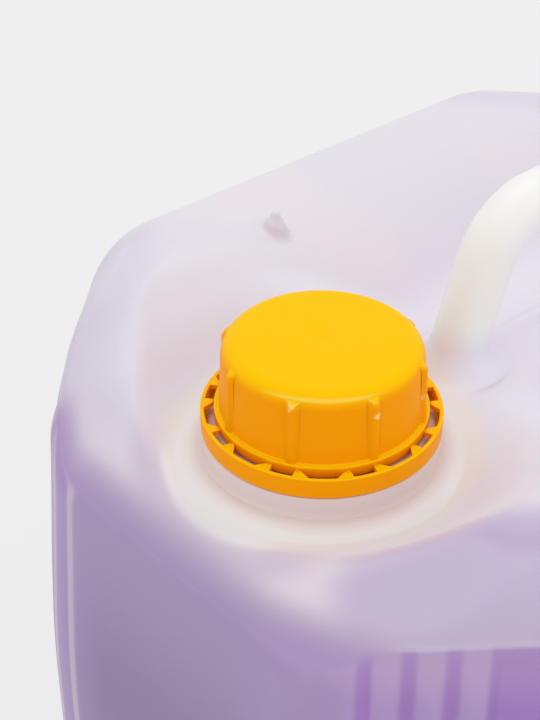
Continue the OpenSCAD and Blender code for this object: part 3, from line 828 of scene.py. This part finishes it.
def shell_material(form, colours):
    """Milky high-density polyethylene with the softener showing through below its level."""
    s = form.s
    material, tree, surface = new_material("milky_shell")
    x, y, z, where = place(tree)
    abs_x, abs_y = size_of(tree, x), size_of(tree, y)
    above = calc(tree, "SUBTRACT", z, form.fill_z / MM)
    out = around(tree, x, y, form.neck_x / MM)
    to_x, to_y, upward = facing(tree)
    slant = calc(tree, "ARCTAN2", size_of(tree, to_y), size_of(tree, to_x))
    steep = step(tree, upward, 0.8, 0.3)
    corner = both(tree, steep, step(tree, slant, math.radians(5), math.radians(15)),
        step(tree, slant, math.radians(85), math.radians(75)))
    middle = (form.neck_x + s.handle_inset + s.handle_l / 2) / MM
    by_handle = both(tree, step(tree, abs_y, 16, 12),
        step(tree, size_of(tree, calc(tree, "SUBTRACT", x, middle)), 84, 78))

    # The empty shell pales with its height over the softener
    drift = calc(tree, "MULTIPLY_ADD", noise(tree, where, 45), 8.0, -4.0)
    high = step(tree, calc(tree, "ADD", above, drift), 2, 20)
    shell = blend(tree, high, colours.shell_low, colours.shell_high)
    blush = step(tree, noise(tree, where, 70), 0.55, 0.75)
    shell = blend(tree, calc(tree, "MULTIPLY", blush, 0.4), shell, colours.shell_blush)
    # Painted cool tint over the bowl round the neck, offsetting the orange light that the cap
    # bounces onto it
    bowl = both(tree, step(tree, out, 62, 52), step(tree, out, 26, 30),
        step(tree, x, -106, -96), 0.8)
    shell = blend(tree, bowl, shell, colours.bowl_bounce_offset)
    # Painted light: the valley beside the handle is painted palest, lifting the handle's shadow
    valley = both(tree, step(tree, abs_y, 34, 12), step(tree, x, -40, -14), step(tree, above, 3, 6))
    shell = blend(tree, valley, shell, colours.valley)
    # Painted shade: a darker line runs in the crease where the shoulder turns up to the dome
    # The thick dome is cream, and the collar takes the cap's glow
    dome = both(tree, step(tree, out, 41, 36), step(tree, above, -8, 0), 0.85)
    shell = blend(tree, dome, shell, colours.dome)
    shell = blend(tree, step(tree, out, 33, 28.5), shell, colours.collar)
    # Painted shade: a darker line runs in the crease where the shoulder turns up to the dome
    moat = both(tree, step(tree, out, 37, 39.5), step(tree, out, 48, 42),
        step(tree, x, -101, -109), 0.6)
    shell = blend(tree, moat, shell, colours.shell_level_and_shade)
    # The handle is hollow and whitest; beside the cap it takes a painted cool tint that offsets the
    # cap's orange bounce light
    handle = both(tree, by_handle, step(tree, above, 7, 20))
    whites = blend(tree, step(tree, out, 52, 42), colours.handle, colours.handle_bounce_offset)
    shell = blend(tree, handle, shell, whites)
    # Painted shade: outside the bowl and away from the handle, the shell is painted darker with its
    # slope
    open_deck = both(tree, step(tree, out, 60, 68), step(tree, above, 24, 18),
        inverse(tree, by_handle))
    slope = both(tree, step(tree, upward, 0.95, 0.55), open_deck, 0.45)
    shell = blend(tree, slope, shell, colours.shell_level_and_shade)
    # Beyond the bowl, the softener's surface shows through the corners' shoulders, with painted
    # shade on the side away from the light
    diagonal = calc(tree, "MULTIPLY", calc(tree, "ADD", abs_x, abs_y), math.sqrt(0.5))
    along = calc(tree, "DIVIDE", calc(tree, "ADD", calc(tree, "SUBTRACT", abs_y, abs_x),
        (s.body_l - s.body_w) / 2 / MM), math.sqrt(2))
    lit = both(tree, calc(tree, "GREATER_THAN", y, 0.0), 0.8)
    cut = both(tree, step(tree, diagonal, 93, 105), inverse(tree, lit),
        step(tree, size_of(tree, along), 40, 28))
    shell = blend(tree, cut, shell, colours.corner_shade)
    # Painted shade: the corners' up-facing crests are darker still
    crest = both(tree, cut, step(tree, upward, 0.8, 0.95), 0.4)
    shell = blend(tree, crest, shell, colours.lilac_soft)
    # The softener seems to stand lower behind the thick middle of the end faces
    end = calc(tree, "MULTIPLY_ADD", step(tree, y, -84, -22), 9.6, -5.0)
    over = calc(tree, "ADD", end, calc(tree, "MULTIPLY_ADD", step(tree, y, 40, 56), -5.0, above))
    low = step(tree, over, 5, -2)
    shell = blend(tree, low, shell, colours.shell_level_and_shade)

    # Corner faces have ribs, paler than the grooves and the plain middle between them; the grooves'
    # darker lilac is the softener with painted shade
    pitch = s.rib_pitch / MM
    wave = calc(tree, "COSINE", calc(tree, "MULTIPLY_ADD", along, 2 * math.pi / pitch,
        math.pi * (s.rib_count - 1)))
    groove = step(tree, wave, 0.1, -0.9)
    plain = both(tree, step(tree, along, -2.5, 0.5), step(tree, along, 10.5, 8.5))
    groove = calc(tree, "MAXIMUM", groove, plain)
    # The far faces have fewer ribs, so their ribbed part ends sooner
    aside = calc(tree, "MULTIPLY_ADD", calc(tree, "GREATER_THAN", x, 0.0), RIB_FEWER / 2 * pitch,
        size_of(tree, along))
    span = s.rib_count / 2 * pitch
    ribbed = both(tree, corner, step(tree, aside, span + 6, span + 2), step(tree, over, 2, -4))
    deep = step(tree, above, -4, -70)
    liquid = blend(tree, deep, colours.lilac_soft, colours.lilac_deep)
    # Close to the upright edges the softener is pinker
    rosy = both(tree, step(tree, abs_y, 22, 42), step(tree, x, -60, -80), 0.45)
    liquid = blend(tree, rosy, liquid, colours.lilac_rib)
    striped = blend(tree, groove, colours.lilac_rib, colours.shaded_lilac)
    liquid = blend(tree, ribbed, liquid, striped)
    skim = both(tree, step(tree, above, -14, -1), corner,
        calc(tree, "MULTIPLY_ADD", groove, -0.35, 0.65))
    liquid = blend(tree, skim, liquid, colours.lilac_skim)

    # The level is a crisp line on the corner faces and a soft one elsewhere
    wobble = calc(tree, "MULTIPLY_ADD", noise(tree, where, 14), 1.2, -0.6)
    level = calc(tree, "ADD", over, wobble)
    mask = node(tree, "ShaderNodeMix",
        {0: corner, 2: step(tree, over, 3.5, -4), 3: step(tree, level, 1.4, -1.4)}, output=0)
    colour_out = blend(tree, mask, shell, liquid)
    line = both(tree, step(tree, size_of(tree, level), 1.4, 0.2), corner, 0.5)
    colour_out = blend(tree, line, colour_out, colours.meniscus)
    # Painted highlights: two beads run down the upright edges on the left as pale lines, with a
    # strip of painted shade between
    degrees = calc(tree, "MULTIPLY", slant, 180 / math.pi)
    upright = both(tree, steep, step(tree, above, 12, 2), step(tree, out, 44, 48),
        step(tree, size_of(tree, along), 27, 30), step(tree, y, -10, 10))
    strip = both(tree, upright, step(tree, degrees, 5, 9), step(tree, degrees, 30, 24), mask, 0.5)
    colour_out = blend(tree, strip, colour_out, colours.shaded_lilac)
    for centre, half in ((3.5, 3.0), (22.0, 4.0)):
        aside = size_of(tree, calc(tree, "SUBTRACT", degrees, centre))
        bead = both(tree, upright, step(tree, aside, half, 0.3 * half), 0.6)
        colour_out = blend(tree, bead, colour_out, colours.bead)

    # Light spreads inside the wall, but not where two skins lie close together
    nub_away = around(tree, x, y, form.neck_x / MM + 39, s.bowl_r / MM)
    open_skin = both(tree, inverse(tree, by_handle), step(tree, out, 34, 37),
        step(tree, nub_away, 8, 11))
    grain = noise(tree, where, 0.6, 3.0)
    waves = noise(tree, where, 38)
    height = calc(tree, "ADD", calc(tree, "MULTIPLY", grain, 0.05), waves)
    plastic(tree, surface, colour_out, 0.34, bump(tree, height, 0.5),
        calc(tree, "MULTIPLY", open_skin, 0.4), (4, 3.6, 4))
    return material


SCUFFS = (
    (math.radians(210), 2.6, 1.5), (math.radians(215), 3.4, 0.9), (math.radians(256), 6.4, 1.1),
    (math.radians(286), 5.5, 0.8), (math.radians(297), 10.5, 1.1),
)


def amber_material(form, cap, colours):
    """Injection-moulded polypropylene, with painted shade and glow making its steep faces a little
    deeper orange.
    """
    material, tree, surface = new_material("amber_plastic")
    x, y, z, where = place(tree)
    to_x, to_y, upward = facing(tree)
    # Painted shade: steep faces take the deeper orange
    flat = step(tree, upward, 0.1, 0.85)
    shade = blend(tree, flat, colours.amber_shaded, colours.amber)
    # Painted highlight: the edge of the top has a paler streak in front
    front = calc(tree, "ADD", calc(tree, "MULTIPLY", to_x, -0.69),
        calc(tree, "MULTIPLY", to_y, -0.72))
    top = cap.cap_top_z / MM
    edge = both(tree, step(tree, upward, 0.5, 0.62), step(tree, upward, 0.8, 0.68),
        step(tree, z, top - 6, top - 4), step(tree, front, 0.62, 0.74), 0.7)
    shade = blend(tree, edge, shade, colours.amber_highlight)
    # A few scuffs where the cap has been knocked: its angle, depth below the top and size
    ragged = noise(tree, where, 1.1, 4.0)
    for turn, depth, size in SCUFFS:
        reach = cap.cap_d / 2 / MM + 0.5
        centre = (form.neck_x / MM + reach * math.cos(turn), reach * math.sin(turn),
                  cap.cap_top_z / MM - depth)
        away = node(
            tree, "ShaderNodeVectorMath", {0: where, 1: centre}, "Value", operation="DISTANCE"
        )
        worn = calc(tree, "MULTIPLY_ADD", ragged, 2.2 * size, away)
        mark = both(tree, step(tree, worn, 2.1 * size, 1.5 * size), 0.75)
        shade = blend(tree, mark, shade, colours.scuff)
    grain = noise(tree, where, 0.35, 3.0)
    soft = noise(tree, where, 9)
    height = calc(tree, "ADD", calc(tree, "MULTIPLY", grain, 0.12), soft)
    plastic(tree, surface, shade, 0.36, bump(tree, height, 0.12), 0.1, (2, 0.8, 0.1), 1.12)
    return material


def plain_material(name, shade, roughness, grain_size, grain_depth):
    """One even colour with a fine grain."""
    material, tree, surface = new_material(name)
    where = place(tree)[3]
    height = noise(tree, where, grain_size)
    plastic(tree, surface, shade, roughness, bump(tree, height, grain_depth))
    return material


# ---- pieces ----


def settings(context):
    scene = context.scene
    return Form(scene.jug_sizes), scene.cap_sizes, scene.jug_colours


def merged(name, meshes, material):
    """One mesh from several, all of one material."""
    points, faces = [], []
    for mesh in meshes:
        first = len(points)
        points += [tuple(v.co) for v in mesh.vertices]
        faces += [tuple(first + i for i in p.vertices) for p in mesh.polygons]
    whole = bpy.data.meshes.new(name)
    whole.from_pydata(points, [], faces)
    whole.shade_smooth()
    whole.materials.append(material)
    for mesh in meshes:
        bpy.data.meshes.remove(mesh)
    return whole


def add_piece(name, mesh, body, replaced=()):
    piece = bpy.data.objects.new(name, mesh)
    bpy.context.scene.collection.objects.link(piece)
    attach(piece, body)
    if replaced:
        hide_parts(*replaced)
    return piece


def made_once(maker, name, *args):
    """The material of that name, made the first time that it is asked for."""
    return bpy.data.materials.get(name) or maker(*args)


class JUG_OT_shell(bpy.types.Operator):
    """Makes the shell with its ribs, handle, neck, parting ridge and nub"""

    bl_idname = "jug.shell"
    bl_label = "Shell"

    def execute(self, context):
        form, cap, colours = settings(context)
        material = made_once(shell_material, "milky_shell", form, colours)
        shell = skin("shell_part", shell_rings(form), cap_start=True)
        handle = skin("handle_part", handle_rings(form))
        ridge = skin("ridge_part", ridge_rings(form), closed=False)
        nub = skin("nub_part", nub_rings(form), cap_end=True)
        neck = skin("neck_part", neck_rings(form, cap))
        mesh = merged("jug_shell", [shell, handle, ridge, nub, neck], material)
        add_piece("jug_shell", mesh, "jug", ["jug_body"])
        return {"FINISHED"}


class JUG_OT_cap(bpy.types.Operator):
    """Makes the screw cap with its grip ribs"""

    bl_idname = "jug.cap"
    bl_label = "Cap"

    def execute(self, context):
        form, cap, colours = settings(context)
        material = made_once(amber_material, "amber_plastic", form, cap, colours)
        outside, inside = cap_rings(form, cap)
        grips = ring_of_copies(
            "grips_part", grip_pattern(cap), cap.grip_count, cap.grip_turn, form.neck_x, material
        )
        parts = [skin("cap_part", outside, cap_end=True), skin("bore_part", inside), grips]
        mesh = merged("ribbed_cap", parts, material)
        add_piece("ribbed_cap", mesh, "cap", ["screw_cap"])
        return {"FINISHED"}


class JUG_OT_band(bpy.types.Operator):
    """Makes the tamper band with its teeth"""

    bl_idname = "jug.band"
    bl_label = "Tamper band"

    def execute(self, context):
        form, cap, colours = settings(context)
        material = made_once(amber_material, "amber_plastic", form, cap, colours)
        teeth = ring_of_copies(
            "teeth_part", tooth_pattern(form, cap), cap.tooth_pairs, cap.tooth_turn, form.neck_x,
            material,
        )
        mesh = merged("band_ring", [skin("band_part", band_rings(form, cap))], material)
        add_piece("band_ring", mesh, "jug", ["tamper_band"])
        add_piece("band_teeth", teeth, "jug")
        return {"FINISHED"}


class JUG_OT_inside(bpy.types.Operator):
    """Gives the softener and the sealing disc their materials"""

    bl_idname = "jug.inside"
    bl_label = "Softener and disc"

    def execute(self, context):
        colours = context.scene.jug_colours
        looks = {
            # Thick liquid with a still surface
            "softener": plain_material("lilac_liquid", colours.softener, 0.12, 60, 0.2),
            # Fine closed-cell foam
            "cap_liner": plain_material("white_foam", colours.foam, 0.7, 0.4, 0.05),
        }
        for name, material in looks.items():
            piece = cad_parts[name]
            for held in piece.material_slots:
                held.material = material
        return {"FINISHED"}


class JUG_OT_stage(bpy.types.Operator):
    """Makes the floor, the lamps, the world and the camera"""

    bl_idname = "jug.stage"
    bl_label = "Stage"

    def execute(self, context):
        form, _, colours = settings(context)
        scene = context.scene
        scene.view_settings.view_transform = "Standard"
        self.floor(scene, colours.backdrop)
        self.world(scene, colours.backdrop)
        neck = np.array([form.neck_x, 0.0, form.neck_top_z])
        self.lamp("top_lamp", neck + (0.25, 0.25, 1.05), neck, 0.8, 1.8)
        self.lamp("right_lamp", neck + (0.45, -0.95, 0.55), neck, 0.7, 0.9)
        self.camera(scene)
        return {"FINISHED"}

    def seen(self, tree):
        """1 for rays that look at the backdrop: straight, mirrored or let through."""
        path = tree.nodes.new("ShaderNodeLightPath")
        sees = calc(tree, "MAXIMUM", path.outputs["Is Camera Ray"], path.outputs["Is Glossy Ray"])
        return calc(tree, "MAXIMUM", sees, path.outputs["Is Transmission Ray"])

    def floor(self, scene, backdrop):
        mesh = bpy.data.meshes.new("floor")
        half = 6.0
        mesh.from_pydata(
            [(-half, -half, 0), (half, -half, 0), (half, half, 0), (-half, half, 0)], [],
            [(0, 1, 2, 3)],
        )
        floor = bpy.data.objects.new("floor", mesh)
        scene.collection.objects.link(floor)
        material, tree, surface = new_material("floor")
        plain = node(tree, "ShaderNodeBsdfDiffuse", {"Color": backdrop})
        glow = node(tree, "ShaderNodeEmission", {"Color": backdrop, "Strength": 1.0})
        share = calc(tree, "MULTIPLY", self.seen(tree), 0.8)
        both = node(tree, "ShaderNodeMixShader", {0: share, 1: plain, 2: glow})
        tree.links.new(both, surface)
        mesh.materials.append(material)

    def world(self, scene, backdrop):
        world = bpy.data.worlds.new("studio")
        world.use_nodes = True
        tree = world.node_tree
        tree.nodes.clear()
        soft = node(tree, "ShaderNodeBackground", {"Color": (1, 1, 1, 1), "Strength": 0.92})
        pale = node(tree, "ShaderNodeBackground", {"Color": backdrop, "Strength": 1.0})
        both = node(tree, "ShaderNodeMixShader", {0: self.seen(tree), 1: soft, 2: pale})
        out = tree.nodes.new("ShaderNodeOutputWorld")
        tree.links.new(both, out.inputs["Surface"])
        scene.world = world

    def lamp(self, name, at, target, size, power):
        light = bpy.data.lights.new(name, "AREA")
        light.shape = "SQUARE"
        light.size = size
        light.energy = power
        lamp = bpy.data.objects.new(name, light)
        bpy.context.scene.collection.objects.link(lamp)
        lamp.location = at
        lamp.rotation_euler = Vector(target - at).to_track_quat("-Z", "Y").to_euler()

    def camera(self, scene):
        data = bpy.data.cameras.new("camera")
        data.sensor_fit = "VERTICAL"
        data.sensor_height = 36
        data.lens = 75
        data.clip_start = 0.01
        camera = bpy.data.objects.new("camera", data)
        scene.collection.objects.link(camera)
        camera.location = (-0.2714, -0.2038, 0.4445)
        camera.rotation_euler = (math.radians(55.561), 0, math.radians(-41.5))
        scene.camera = camera


class JUG_PT_panel(bpy.types.Panel):
    """Lists the jug's sizes, colours and pieces"""

    bl_idname = "JUG_PT_panel"
    bl_label = "Fabric softener jug"
    bl_space_type = "VIEW_3D"
    bl_region_type = "UI"
    bl_category = "Jug"

    def draw(self, context):
        for operator in OPERATORS:
            self.layout.operator(operator.bl_idname)
        for group in (context.scene.jug_sizes, context.scene.cap_sizes, context.scene.jug_colours):
            box = self.layout.box()
            for name in group.__annotations__:
                box.prop(group, name)


OPERATORS = (JUG_OT_shell, JUG_OT_cap, JUG_OT_band, JUG_OT_inside, JUG_OT_stage)
GROUPS = {"jug_sizes": JugSizes, "cap_sizes": CapSizes, "jug_colours": JugColours}


def register():
    for kind in (*GROUPS.values(), *OPERATORS, JUG_PT_panel):
        bpy.utils.register_class(kind)
    for name, group in GROUPS.items():
        setattr(bpy.types.Scene, name, bpy.props.PointerProperty(type=group))


def unregister():
    for name in GROUPS:
        delattr(bpy.types.Scene, name)
    for kind in (JUG_PT_panel, *reversed(OPERATORS), *reversed(list(GROUPS.values()))):
        bpy.utils.unregister_class(kind)


def main():
    register()
    for operator in OPERATORS:
        group, name = operator.bl_idname.split(".")
        getattr(getattr(bpy.ops, group), name)()


if __name__ == "__main__":
    main()
